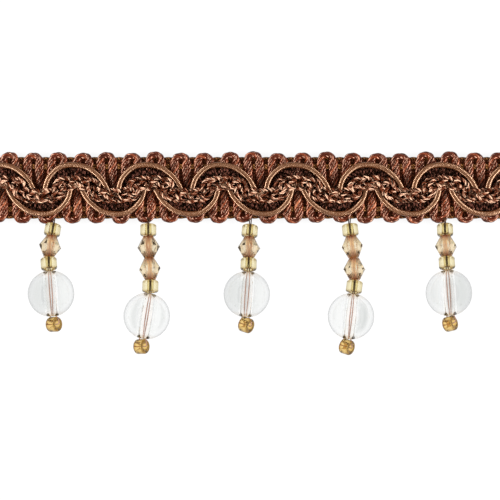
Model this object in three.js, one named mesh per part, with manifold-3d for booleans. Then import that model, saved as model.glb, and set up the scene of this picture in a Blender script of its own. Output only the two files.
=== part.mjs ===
// A cut length of beaded fringe: a woven gimp heading with picot loops on both edges and scrolled
// cords on its face, and five strung bead drops along its lower edge.
// Millimetres, +Z up. The trim lies on its back, face up: X runs along the heading, +Y points to the
// heading's upper edge, and the drops lie towards -Y. The origin is the middle of the heading's back.
import * as THREE from "three";
import { mergeVertices } from "three/addons/utils/BufferGeometryUtils.js";
import Module from "manifold-3d";

const wasm = await Module();
wasm.setup();

// Repeats along the heading
const LOOP_PITCH = 4.25;
const SCROLL_PITCH = 3 * LOOP_PITCH;
const DROP_PITCH = 4 * LOOP_PITCH;
const SCROLL_COUNT = 7;
const LENGTH = SCROLL_COUNT * SCROLL_PITCH;
const LOOP_PHASE = -3.55;
const LOWER_LOOP_LAG = LOOP_PITCH / 2 + 0.3;
const SCROLL_PHASE = 1.82;

// Gap kept between neighbouring pieces
const GAP = 0.3;

// Woven ground and its picot yarn
const HEADING_WIDTH = 12.4;
const GROUND_WIDTH = 10.1;
const GROUND_THICKNESS = 0.9;
const YARN_DIAMETER = 1.15;
const YARN_HEIGHT = 0.65;
const YARN_SIDES = 6;
const LOOP_STEPS = 4;

// Layer that carries the scrolled cords and the plait
const SCROLL_MIDDLE = -0.3;
const FACE_HEIGHT = YARN_HEIGHT + YARN_DIAMETER / 2 + GAP;

// Wrapped gimp cords, pressed a little flat
const CORD_WIDTH = 0.95;
const CORD_THICKNESS = 0.75;
const CORD_SIDES = 6;
const CORD_STEP = 1.1;
const CORD_TURN = 0.9;
const CORD_RISE = 5.12;
const CORD_CLEARANCE = 0.42;

// One scallop of a gimp cord from turn to turn: a steep left side, a round top and a long right slope.
// along is a share of the scroll pitch, rise a share of the cord's rise.
const SCALLOP = [
  { along: 0.0, rise: 0.0 },
  { along: 0.05, rise: 0.06 },
  { along: 0.073, rise: 0.16 },
  { along: 0.083, rise: 0.26 },
  { along: 0.1, rise: 0.416 },
  { along: 0.128, rise: 0.566 },
  { along: 0.18, rise: 0.729 },
  { along: 0.243, rise: 0.867 },
  { along: 0.313, rise: 0.957 },
  { along: 0.4, rise: 1.0 },
  { along: 0.49, rise: 1.0 },
  { along: 0.585, rise: 0.961 },
  { along: 0.668, rise: 0.885 },
  { along: 0.743, rise: 0.762 },
  { along: 0.813, rise: 0.605 },
  { along: 0.865, rise: 0.441 },
  { along: 0.905, rise: 0.264 },
  { along: 0.932, rise: 0.13 },
  { along: 0.962, rise: 0.04 },
];

// Plait that winds between the cords
const PLAIT_WIDTH = 2.55;
const PLAIT_THICKNESS = 1.6;
const PLAIT_SWING = 1.13;
const PLAIT_STEEPNESS = 0.068;
const PLAIT_LOBES = 6;
const PLAIT_LOBE_DEPTH = 0.14;
const PLAIT_STEPS_PER_LOBE = 3;
const PLAIT_SIDES = 8;

// Beads
const SEED_DIAMETER = 2.8;
const SEED_LENGTH = 1.75;
const SEED_BORE = 1.16;
const SEED_ROUNDING = 0.5;
const SEED_SIDES = 9;
const BICONE_DIAMETER = 3.9;
const BICONE_LENGTH = 3.55;
const BICONE_TIP = 1.8;
const BICONE_BORE = 1.16;
const BICONE_SIDES = 8;
const BALL_DIAMETER = 8.0;
const BALL_BORE = 1.7;
const BALL_MOUTH = 2.7;
const BALL_MOUTH_DEPTH = 0.5;
const BALL_SIDES = 18;
const BALL_RINGS = 9;
const END_DIAMETER = 2.4;
const END_LENGTH = 1.6;
const END_BORE = 1.0;
const END_GAP = 0.35;

// Doubled thread of a drop and the stitch that roots it over the picot edge
const THREAD_DIAMETER = 0.2;
const THREAD_SPREAD = 0.14;
const THREAD_SIDES = 4;
const THREAD_TOP = 1.72;
const THREAD_ROUND = SEED_ROUNDING + GAP + THREAD_DIAMETER / 2;
const THREAD_SLANT = 33;
const STITCH_LENGTH = 1.3;
const STITCH_WIDTH = 0.5;
const STITCH_THICKNESS = 0.36;
const STITCH_SETBACK = 0.95;
const STITCH_COVER = 0.6;
const DROP_TOP = -HEADING_WIDTH / 2 - GAP;

// The five drops from left to right. shift is the drop's place off its even spacing and dip how far its
// first bead hangs below the edge, both in millimetres. seed, bicones, lowSeed, ball and end are leans in
// degrees from straight down, positive towards +X, bead by bead down the string. endTurn is the angle of
// the end bead's hole to the X axis.
const DROPS = [
  { shift: 0.0, dip: 0.0, seed: -8, bicones: [-6], lowSeed: 6, ball: 4, end: 9, endTurn: 5 },
  { shift: -0.58, dip: 0.0, seed: 0, bicones: [3, 4], lowSeed: -1, ball: -9, end: -12, endTurn: 4 },
  { shift: 0.03, dip: 0.2, seed: -5, bicones: [-1], lowSeed: -2, ball: -4, end: 6, endTurn: -16 },
  { shift: 0.23, dip: 0.0, seed: 6, bicones: [7, 2], lowSeed: -8, ball: -6, end: -12, endTurn: -16 },
  { shift: -0.3, dip: 0.0, seed: 0, bicones: [2], lowSeed: 2, ball: 4, end: -2, endTurn: 17 },
];

const radians = THREE.MathUtils.degToRad;
const UP = new THREE.Vector3(0, 0, 1);

// Finishes
function finish(color, roughness, options = {}) {
  return new THREE.MeshStandardMaterial({ color, roughness, metalness: 0, ...options });
}

const picotFinish = () => finish(0x5e2f24, 0.6);
const gimpFinish = () => finish(0xb98c66, 0.5);
const plaitFinish = () => finish(0x74432f, 0.55);
const threadFinish = () => finish(0x5b3a26, 0.6);
const clearFinish = () => finish(0xf4f6f6, 0.05, { transparent: true, opacity: 0.35 });
const crystalFinish = () => finish(0xe6c8a6, 0.05, { transparent: true, opacity: 0.6, flatShading: true });
const strawFinish = () => finish(0xe9cf78, 0.1, { transparent: true, opacity: 0.6 });

// Closed geometry to solid and back, for joining and cutting
function solidOf(geometry) {
  const bare = new THREE.BufferGeometry();
  bare.setAttribute("position", geometry.getAttribute("position"));
  bare.setIndex(geometry.getIndex());
  const merged = mergeVertices(bare, 1e-4);
  return new wasm.Manifold(new wasm.Mesh({
    numProp: 3,
    vertProperties: new Float32Array(merged.getAttribute("position").array),
    triVerts: new Uint32Array(merged.getIndex().array),
  }));
}

function geometryOf(solid) {
  const mesh = solid.getMesh();
  const geometry = new THREE.BufferGeometry();
  geometry.setAttribute("position", new THREE.BufferAttribute(mesh.vertProperties, mesh.numProp));
  geometry.setIndex(new THREE.BufferAttribute(mesh.triVerts, 1));
  geometry.computeVertexNormals();
  return geometry;
}

// Sweeps a closed section along a run of points. A section is a list of (side, up) pairs that runs
// anticlockwise as seen against the direction of travel.
function sweep(points, sectionAt) {
  const positions = [];
  const triangles = [];
  const rings = points.map((point, i) => {
    const before = points[Math.max(i - 1, 0)];
    const after = points[Math.min(i + 1, points.length - 1)];
    const travel = after.clone().sub(before).normalize();
    const side = UP.clone().cross(travel).normalize();
    const lift = travel.clone().cross(side);
    return sectionAt(i).map((pair) => {
      const vertex = point.clone().addScaledVector(side, pair.x).addScaledVector(lift, pair.y);
      positions.push(vertex.x, vertex.y, vertex.z);
      return positions.length / 3 - 1;
    });
  });
  const sides = rings[0].length;
  for (let i = 0; i + 1 < rings.length; i += 1) {
    for (let j = 0; j < sides; j += 1) {
      const k = (j + 1) % sides;
      triangles.push(rings[i][j], rings[i][k], rings[i + 1][j]);
      triangles.push(rings[i][k], rings[i + 1][k], rings[i + 1][j]);
    }
  }
  const last = rings[rings.length - 1];
  for (let j = 1; j + 1 < sides; j += 1) {
    triangles.push(rings[0][0], rings[0][j + 1], rings[0][j]);
    triangles.push(last[0], last[j], last[j + 1]);
  }
  const geometry = new THREE.BufferGeometry();
  geometry.setAttribute("position", new THREE.Float32BufferAttribute(positions, 3));
  geometry.setIndex(triangles);
  geometry.computeVertexNormals();
  return geometry;
}

// An oval section with a flat side up and down
function oval(width, thickness, sides) {
  return Array.from({ length: sides }, (_, i) => {
    const angle = (2 * Math.PI * (i + 0.5)) / sides + Math.PI / 2;
    const stretch = 1 / Math.cos(Math.PI / sides);
    return new THREE.Vector2((Math.cos(angle) * width) / 2, (Math.sin(angle) * thickness * stretch) / 2);
  });
}

function slab(width, depth, height) {
  return new THREE.BoxGeometry(width, depth, height).translate(0, 0, height / 2);
}

// Cuts a solid off square at both ends of the length
function cutToLength(solid) {
  const reach = 4 * HEADING_WIDTH;
  return solid.intersect(solidOf(slab(LENGTH, reach, reach)));
}

// Thick yarn that runs to and fro across the ground and turns in a picot loop past each edge.
// It runs a loop past both ends of the length, where it is cut with the ground.
function picotYarnPath() {
  const turn = LOOP_PITCH / 4;
  const straight = HEADING_WIDTH / 2 - YARN_DIAMETER / 2 - turn;
  const reach = LENGTH / 2 + LOOP_PITCH;
  const firstLoop = Math.ceil((-reach - LOOP_PHASE) / LOOP_PITCH);
  const lastLoop = Math.floor((reach - LOOP_PHASE) / LOOP_PITCH);
  const points = [];
  for (let loop = firstLoop; loop <= lastLoop; loop += 1) {
    const upper = LOOP_PHASE + loop * LOOP_PITCH;
    for (const [centre, edge] of [[upper, 1], [upper + LOWER_LOOP_LAG, -1]]) {
      for (let step = 0; step <= LOOP_STEPS; step += 1) {
        const angle = Math.PI * (1 - step / LOOP_STEPS);
        const x = centre + turn * Math.cos(angle);
        const y = edge * (straight + turn * Math.sin(angle));
        points.push(new THREE.Vector3(x, y, YARN_HEIGHT));
      }
    }
  }
  return points;
}

function picotGround() {
  const section = oval(YARN_DIAMETER, YARN_DIAMETER, YARN_SIDES);
  const yarn = cutToLength(solidOf(sweep(picotYarnPath(), () => section)));
  const ground = solidOf(slab(LENGTH, GROUND_WIDTH, GROUND_THICKNESS));
  return geometryOf(ground.add(yarn));
}

// Middle line of a gimp cord. The lower cord is the upper one turned half round, half a scroll further on.
function gimpCordPath(lower) {
  const handle = [];
  const facing = lower ? -1 : 1;
  const phase = SCROLL_PHASE + (lower ? SCROLL_PITCH / 2 : 0);
  for (let scroll = -SCROLL_COUNT; scroll <= SCROLL_COUNT; scroll += 1) {
    for (const { along, rise } of SCALLOP) {
      const x = (scroll + along) * SCROLL_PITCH * facing + phase;
      const y = SCROLL_MIDDLE + facing * (rise * CORD_RISE - CORD_TURN);
      if (Math.abs(x) < LENGTH / 2 + CORD_RISE) {
        handle.push(new THREE.Vector3(x, y, FACE_HEIGHT + CORD_THICKNESS / 2));
      }
    }
  }
  return new THREE.CatmullRomCurve3(handle, false, "centripetal");
}

function gimpCordSolid(lower, clearance) {
  const curve = gimpCordPath(lower);
  const points = curve.getSpacedPoints(Math.round(curve.getLength() / CORD_STEP));
  const section = oval(CORD_WIDTH + 2 * clearance, CORD_THICKNESS + 2 * clearance, CORD_SIDES);
  return solidOf(sweep(points, () => section));
}

// The plait winds in an S between the cords, with lobes that swap sides as its strands cross, and it
// passes over the cords where they turn back under it.
function scrollPlait() {
  const stepsPerScroll = PLAIT_LOBES * PLAIT_STEPS_PER_LOBE;
  const reach = Math.ceil(SCROLL_COUNT / 2 + 1);
  const points = [];
  for (let step = -reach * stepsPerScroll; step <= reach * stepsPerScroll; step += 1) {
    const turn = (2 * Math.PI * step) / stepsPerScroll;
    const sway = PLAIT_STEEPNESS * SCROLL_PITCH * Math.sin(2 * turn);
    const x = SCROLL_PHASE + (step / stepsPerScroll) * SCROLL_PITCH + sway;
    const y = SCROLL_MIDDLE - PLAIT_SWING * Math.cos(turn);
    points.push(new THREE.Vector3(x, y, FACE_HEIGHT + PLAIT_THICKNESS / 2));
  }
  const section = oval(PLAIT_WIDTH, PLAIT_THICKNESS, PLAIT_SIDES);
  const braid = sweep(points, (i) => section.map((pair) => {
    const crossing = (2 * Math.PI * i) / PLAIT_STEPS_PER_LOBE;
    const lobe = 1 + PLAIT_LOBE_DEPTH * Math.cos(crossing) * Math.sign(pair.x);
    const crown = pair.y > 0 ? lobe : 1;
    return new THREE.Vector2(pair.x * lobe, pair.y * crown);
  }));
  const notched = cutToLength(solidOf(braid))
    .subtract(gimpCordSolid(false, CORD_CLEARANCE))
    .subtract(gimpCordSolid(true, CORD_CLEARANCE));
  return geometryOf(notched);
}

// Round beads turned on the bore: the profile runs up the outside and back down the bore
function turnedBead(outside, bore, sides) {
  const top = outside[outside.length - 1];
  const bottom = outside[0];
  const boreTop = new THREE.Vector2(bore / 2, top.y);
  const boreBottom = new THREE.Vector2(bore / 2, bottom.y);
  return new THREE.LatheGeometry([...outside, boreTop, boreBottom, bottom], sides, Math.PI / sides);
}

function seedBead(diameter, length, bore) {
  const shoulder = diameter / 2 - SEED_ROUNDING;
  const half = length / 2;
  const belt = half - SEED_ROUNDING;
  const corner = SEED_ROUNDING * Math.SQRT1_2;
  return turnedBead([
    new THREE.Vector2(shoulder, -half),
    new THREE.Vector2(shoulder + corner, -belt - corner),
    new THREE.Vector2(diameter / 2, -belt),
    new THREE.Vector2(diameter / 2, belt),
    new THREE.Vector2(shoulder + corner, belt + corner),
    new THREE.Vector2(shoulder, half),
  ], bore, SEED_SIDES);
}

function biconeBead() {
  return turnedBead([
    new THREE.Vector2(BICONE_TIP / 2, -BICONE_LENGTH / 2),
    new THREE.Vector2(BICONE_DIAMETER / 2, 0),
    new THREE.Vector2(BICONE_TIP / 2, BICONE_LENGTH / 2),
  ], BICONE_BORE, BICONE_SIDES);
}

// Half the length of the ball along its bore, from mouth to mouth
const BALL_HALF_LENGTH = Math.sqrt((BALL_DIAMETER / 2) ** 2 - (BALL_MOUTH / 2) ** 2);

// The ball's facets touch the true sphere from outside, so that the one underneath lies flat on the surface
function roundBead() {
  const sweepAngle = Math.acos(BALL_MOUTH / BALL_DIAMETER);
  const ringAngle = (2 * sweepAngle) / BALL_RINGS;
  const radius = BALL_DIAMETER / 2 / Math.cos(ringAngle / 2) / Math.cos(Math.PI / BALL_SIDES);
  const profile = [];
  for (let ring = 0; ring <= BALL_RINGS; ring += 1) {
    const angle = -sweepAngle + ring * ringAngle;
    profile.push(new THREE.Vector2(radius * Math.cos(angle), radius * Math.sin(angle)));
  }
  const throat = profile[BALL_RINGS].y - BALL_MOUTH_DEPTH;
  profile.push(new THREE.Vector2(BALL_BORE / 2, throat));
  profile.push(new THREE.Vector2(BALL_BORE / 2, -throat));
  profile.push(profile[0]);
  return new THREE.LatheGeometry(profile, BALL_SIDES, Math.PI / BALL_SIDES);
}

// The beads of a string: half the length along the hole, the shape and the finish
const SEED = {
  half: SEED_LENGTH / 2,
  shape: () => seedBead(SEED_DIAMETER, SEED_LENGTH, SEED_BORE),
  finish: strawFinish,
};
const BICONE = { half: BICONE_LENGTH / 2, shape: biconeBead, finish: crystalFinish };
const BALL = { half: BALL_HALF_LENGTH, shape: roundBead, finish: clearFinish };
const END_SEED = { shape: () => seedBead(END_DIAMETER, END_LENGTH, END_BORE), finish: strawFinish };

// Direction down the string for a lean in the plane of the trim and a rise off it
function downString(lean, rise) {
  const level = Math.cos(rise);
  return new THREE.Vector3(Math.sin(lean) * level, -Math.cos(lean) * level, Math.sin(rise));
}

// Where the next bead's hole starts: a gap further down, wider where the string bends between the two faces
function belowBead(bead, nextDown) {
  const bend = bead.down.angleTo(nextDown);
  return bead.bottom.clone().addScaledVector(bead.down, GAP + (BICONE_TIP / 2) * Math.sin(bend));
}

// Strings one drop: each bead's place, direction and length along the thread, from the edge down
function stringDrop(drop) {
  const upperRun = [
    { name: "upper_seed", kind: SEED, lean: drop.seed },
    ...drop.bicones.map((lean, i) => ({ name: `bicone_${i + 1}`, kind: BICONE, lean })),
    { name: "lower_seed", kind: SEED, lean: drop.lowSeed },
  ];
  const runLength = upperRun.reduce((length, bead) => length + 2 * bead.kind.half + GAP, 0);
  const climb = Math.asin((BALL_DIAMETER / 2 - THREAD_TOP) / runLength);
  const beads = [
    ...upperRun.map((bead) => ({ ...bead, rise: climb })),
    { name: "ball", kind: BALL, lean: drop.ball, rise: 0 },
  ];
  const start = new THREE.Vector3(0, -drop.dip, THREAD_TOP);
  beads.forEach((bead, i) => {
    const above = beads[i - 1];
    bead.lean = radians(bead.lean);
    bead.down = downString(bead.lean, bead.rise);
    bead.top = above ? belowBead(above, bead.down) : start;
    bead.top.z = bead.kind === BALL ? BALL_DIAMETER / 2 : bead.top.z;
    bead.centre = bead.top.clone().addScaledVector(bead.down, bead.kind.half);
    bead.bottom = bead.top.clone().addScaledVector(bead.down, 2 * bead.kind.half);
  });
  const ball = beads[beads.length - 1];
  const down = downString(radians(drop.end), 0);
  const centre = ball.bottom.clone().addScaledVector(down, END_GAP + END_DIAMETER / 2);
  return { beads, end: { centre, turn: radians(drop.endTurn) } };
}

// One thread goes down through the beads, across through the end bead and back up beside itself.
// Both its ends are fused into the stitch that lies over the picot edge.
function dropThread({ beads, end }) {
  const root = beads[0].top.clone().add(new THREE.Vector3(0, STITCH_SETBACK, 0));
  const runsUnderStitch = [0, STITCH_WIDTH * STITCH_COVER, STITCH_WIDTH];
  const down = runsUnderStitch.map((run) => ({
    point: root.clone().add(new THREE.Vector3(0, -run, 0)),
    across: new THREE.Vector3(1, 0, 0),
  }));
  for (const bead of beads) {
    const across = bead.down.clone().cross(UP).normalize().negate();
    down.push({ point: bead.top, across });
    down.push({ point: bead.bottom, across });
  }
  const ball = beads[beads.length - 1];
  down[down.length - 1].point = ball.bottom.clone().addScaledVector(ball.down, -BALL_MOUTH_DEPTH);
  const strand = (side) => down.map(
    ({ point, across }) => point.clone().addScaledVector(across, side * THREAD_SPREAD),
  );
  const loopSide = (side) => {
    const outward = new THREE.Vector3(Math.cos(end.turn), Math.sin(end.turn), 0).multiplyScalar(side);
    const upward = new THREE.Vector3(-Math.sin(end.turn), Math.cos(end.turn), 0);
    const inset = end.centre.clone().addScaledVector(outward, END_LENGTH / 2 - SEED_ROUNDING);
    const corner = inset.clone().addScaledVector(upward, END_DIAMETER / 2 - SEED_ROUNDING);
    const slant = outward.clone().multiplyScalar(Math.cos(radians(THREAD_SLANT)))
      .addScaledVector(upward, Math.sin(radians(THREAD_SLANT)));
    return [
      corner.clone().addScaledVector(slant, THREAD_ROUND),
      corner.clone().addScaledVector(outward, THREAD_ROUND),
      inset.clone().addScaledVector(outward, THREAD_ROUND),
    ];
  };
  const path = [...strand(-1), ...loopSide(-1), ...loopSide(1).reverse(), ...strand(1).reverse()];
  const section = oval(THREAD_DIAMETER, THREAD_DIAMETER, THREAD_SIDES);
  const thread = solidOf(sweep(path, () => section));
  const stitchEnds = [-1, 1].map(
    (side) => root.clone().add(new THREE.Vector3((side * STITCH_LENGTH) / 2, 0, 0)),
  );
  const stitch = solidOf(sweep(stitchEnds, () => oval(STITCH_WIDTH, STITCH_THICKNESS, YARN_SIDES)));
  return geometryOf(thread.add(stitch));
}

const fringe = new THREE.Group();

function addPiece(parent, name, geometry, material) {
  const mesh = new THREE.Mesh(geometry, material);
  mesh.name = name;
  parent.add(mesh);
  return mesh;
}

// Heading
addPiece(fringe, "picot_ground", picotGround(), picotFinish());
addPiece(fringe, "gimp_cord_upper", geometryOf(cutToLength(gimpCordSolid(false, 0))), gimpFinish());
addPiece(fringe, "gimp_cord_lower", geometryOf(cutToLength(gimpCordSolid(true, 0))), gimpFinish());
addPiece(fringe, "scroll_plait", scrollPlait(), plaitFinish());

// Drops, each in its own group at its place under the heading's lower edge
DROPS.forEach((drop, i) => {
  const number = i + 1;
  const middle = (DROPS.length - 1) / 2;
  const group = new THREE.Group();
  group.position.set((i - middle) * DROP_PITCH + drop.shift, DROP_TOP, 0);
  fringe.add(group);
  const strung = stringDrop(drop);
  for (const bead of strung.beads) {
    const mesh = addPiece(group, `${bead.name}_${number}`, bead.kind.shape(), bead.kind.finish());
    mesh.position.copy(bead.centre);
    mesh.rotation.set(-bead.rise, 0, bead.lean, "ZXY");
  }
  const endBead = addPiece(group, `end_seed_${number}`, END_SEED.shape(), END_SEED.finish());
  endBead.position.copy(strung.end.centre);
  endBead.rotation.set(0, 0, strung.end.turn + Math.PI / 2);
  addPiece(group, `bead_thread_${number}`, dropThread(strung), threadFinish());
});

export default fringe;
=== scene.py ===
"""Looks of a cut length of beaded fringe: its woven scroll heading and its five strung bead drops."""
import logging
import math
from collections.abc import Callable
from dataclasses import dataclass, field
from enum import Enum
from typing import Any

import bpy
import numpy as np
from mathutils import Matrix, Vector


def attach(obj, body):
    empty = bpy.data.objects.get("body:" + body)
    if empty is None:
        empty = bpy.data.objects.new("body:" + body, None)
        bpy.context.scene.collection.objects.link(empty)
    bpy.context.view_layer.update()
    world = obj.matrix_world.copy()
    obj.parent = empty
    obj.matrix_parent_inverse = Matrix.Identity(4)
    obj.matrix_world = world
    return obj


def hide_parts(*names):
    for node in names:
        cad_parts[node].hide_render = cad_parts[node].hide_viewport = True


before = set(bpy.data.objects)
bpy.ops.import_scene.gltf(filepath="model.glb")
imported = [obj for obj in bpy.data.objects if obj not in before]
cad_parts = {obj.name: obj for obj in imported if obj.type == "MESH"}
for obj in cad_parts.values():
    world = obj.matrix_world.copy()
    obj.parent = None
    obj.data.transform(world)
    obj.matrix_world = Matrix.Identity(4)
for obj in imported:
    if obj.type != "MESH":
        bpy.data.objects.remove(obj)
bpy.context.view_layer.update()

LOG = logging.getLogger("beaded_fringe")
MM = 0.001
BODY = "root"
UP = np.array([0.0, 0.0, 1.0])
FULL_TURN = 2 * math.pi
STRAND_MAP = "run_and_turn"  # Map of a strand: run in millimetres, and share of a turn round it.


class Slot(Enum):
    """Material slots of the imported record."""

    PICOT_YARN = "picot_yarn"
    GIMP_CORD = "gimp_cord"
    PLAIT = "plait"
    THREAD = "thread"
    CLEAR_ACRYLIC = "clear_acrylic"
    CHAMPAGNE_GLASS = "champagne_glass"
    STRAW_GLASS = "straw_glass"


class Edge(Enum):
    """The heading's two long edges, with the sign of their Y."""

    UPPER = 1
    LOWER = -1


@dataclass(frozen=True)
class Heading:
    """Repeats and levels that the pieces of the heading share, in millimetres.

    Attributes:
        length: Length of the trim between its cut ends.
        loop_pitch: Distance from one picot loop to the next.
        loop_phase: Place along the heading of one upper loop's middle.
        lower_loop_lag: How far to its right the next lower loop lies.
        scroll_pitch: Distance from one scroll to the next.
        scroll_phase: Place along the heading of one turn of the upper gimp cord.
        scroll_count: Scrolls in the length.
        scroll_middle: Place across the heading of the scrolls' middle.
        ground_width: Width of the woven tape.
        face: Height of the face that the scrolls lie on.
    """

    length: float = 89.25
    loop_pitch: float = 4.25
    loop_phase: float = -3.55
    lower_loop_lag: float = 2.425
    scroll_pitch: float = 12.75
    scroll_phase: float = 1.82
    scroll_count: int = 7
    scroll_middle: float = -0.3
    ground_width: float = 10.3
    face: float = 1.525


HEADING = Heading()


# Colours and nodes


def linear(hex_colour: str) -> tuple[float, float, float, float]:
    """Turns an sRGB hex colour into linear RGBA by the curve of the sRGB standard.

    Args:
        hex_colour: Six hex digits after a hash sign.

    Returns:
        Red, green, blue and alpha, linear.
    """
    channels = [int(hex_colour[i : i + 2], 16) / 255 for i in (1, 3, 5)]
    bent = [c / 12.92 if c <= 0.04045 else ((c + 0.055) / 1.055) ** 2.4 for c in channels]
    return (*bent, 1.0)


def add_node(
    tree: bpy.types.NodeTree, kind: str, inputs: dict[Any, Any] | None = None, **settings: Any
) -> bpy.types.Node:
    """Adds a node with its settings, values and links.

    Args:
        tree: The node tree that gets it.
        kind: The node's Blender type name after ShaderNode.
        inputs: Socket names or numbers, each with a value, with an output socket to link, or with a node,
            whose first output is linked.
        settings: Attributes of the node.

    Returns:
        The new node.
    """
    node = tree.nodes.new(f"ShaderNode{kind}")
    for name, value in settings.items():
        setattr(node, name, value)
    for socket, value in (inputs or {}).items():
        source = value.outputs[0] if isinstance(value, bpy.types.Node) else value
        if isinstance(source, bpy.types.NodeSocket):
            tree.links.new(source, node.inputs[socket])
        else:
            node.inputs[socket].default_value = source
    return node


def colour_ramp(
    tree: bpy.types.NodeTree, factor: bpy.types.Node | bpy.types.NodeSocket, stops: dict[float, str]
) -> bpy.types.NodeSocket:
    """Adds a ramp of colours.

    Args:
        tree: The node tree that gets it.
        factor: The node or socket that drives it.
        stops: Places from 0 to 1 with their hex colours.

    Returns:
        The ramp's colour output.
    """
    ramp = add_node(tree, "ValToRGB", {"Fac": factor})
    elements = ramp.color_ramp.elements
    while len(elements) < len(stops):
        elements.new(0.5)
    while len(elements) > len(stops):
        elements.remove(elements[-1])
    for element, (place, hex_colour) in zip(elements, sorted(stops.items())):
        element.position = place
        element.color = linear(hex_colour)
    return ramp.outputs["Color"]


# Finishes


@dataclass(frozen=True)
class Finish:
    """What every finish shares: a name and the way to its material.

    Attributes:
        name: The material's name.
    """

    name: str

    def surface(self, tree: bpy.types.NodeTree) -> dict[str, Any]:
        """Adds the nodes of a pattern, in each finish's own way, and gives the shader's sockets."""
        raise NotImplementedError

    def material(self) -> bpy.types.Material:
        """Builds the node material.

        Returns:
            The new material.
        """
        material = bpy.data.materials.new(self.name)
        material.use_nodes = True
        tree = material.node_tree
        tree.nodes.clear()
        shader = add_node(tree, "BsdfPrincipled", self.surface(tree))
        add_node(tree, "OutputMaterial", {"Surface": shader})
        return material


@dataclass(frozen=True)
class SpunYarn(Finish):
    """Spun viscose or cotton: filaments twisted into a thread, dyed, with a soft gloss along each twist.

    The eye sees short slanted glints on every thread, dark gaps between them, and threads that took the dye
    unevenly.

    Attributes:
        stops: Colours over the threads' shades, dark to light.
        roughness: Roughness of the filaments.
        gloss: Strength of the shine.
        shine: Colour of the shine, warmed by light that went through the filaments.
        plies: Twists side by side round a thread, drawn fewer and coarser than real filaments to show.
        lay: Length of one turn of the twist in millimetres.
        relief: Height of the twists in millimetres.
        furrow_shade: How much darker the thread is painted between two twists, as painted shade in the
            grooves.
        marl: How far a light and a dark strand, twisted together, lie from the middle shade.
        patch: Size of the unevenly dyed stretches in millimetres.
        mottle: Span of shades between the palest and the darkest of those stretches.
        stretch: How far the filaments draw the shine out.
        shine_turn: Turn of the stretched shine from the run of the thread, as a share of a full turn.
    """

    stops: dict[float, str]
    roughness: float = 0.48
    gloss: float = 0.5
    shine: str = "#ffcda6"
    plies: int = 3
    lay: float = 1.6
    relief: float = 0.05
    furrow_shade: float = 0.12
    marl: float = 0.0
    patch: float = 1.2
    mottle: float = 0.6
    stretch: float = 0.85
    shine_turn: float = 0.25

    def surface(self, tree: bpy.types.NodeTree) -> dict[str, Any]:
        """Winds colour and relief round the threads by their shade attribute and their map.

        Args:
            tree: The material's node tree.

        Returns:
            The shader's sockets with their values or links.
        """
        tone = add_node(tree, "Attribute", attribute_name="shade").outputs["Fac"]
        split = add_node(tree, "SeparateXYZ", {"Vector": add_node(tree, "UVMap", uv_map=STRAND_MAP)})
        run, turn = split.outputs["X"], split.outputs["Y"]
        wound = add_node(tree, "Math", {0: run, 1: -1 / self.lay, 2: turn}, operation="MULTIPLY_ADD")
        waves = []
        for twists in (self.plies, 1):
            phase = add_node(tree, "Math", {0: wound, 1: FULL_TURN * twists}, operation="MULTIPLY")
            waves.append(add_node(tree, "Math", {0: phase}, operation="SINE"))
        twist, strand = waves
        place = add_node(tree, "TexCoord").outputs["Object"]
        cloud = add_node(tree, "TexNoise", {"Vector": place, "Scale": 1 / (self.patch * MM), "Detail": 3.0})
        # The twist's term is painted shade in the grooves between twists; the cloud's term is uneven dye.
        for wave, weight in ((cloud, self.mottle), (twist, self.furrow_shade), (strand, self.marl)):
            tone = add_node(tree, "Math", {0: wave, 1: weight, 2: tone}, operation="MULTIPLY_ADD")
        tone = add_node(tree, "Math", {0: tone, 1: self.mottle / 2}, operation="SUBTRACT")
        relief = {"Height": twist, "Distance": self.relief / 2 * MM, "Strength": 1.0}
        return {
            "Base Color": colour_ramp(tree, tone, self.stops),
            "Roughness": self.roughness,
            "Specular IOR Level": self.gloss,
            "Specular Tint": linear(self.shine),
            "Anisotropic": self.stretch,
            "Anisotropic Rotation": self.shine_turn,
            "Tangent": add_node(tree, "Tangent", direction_type="UV_MAP", uv_map=STRAND_MAP),
            "Normal": add_node(tree, "Bump", relief),
        }


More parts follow.
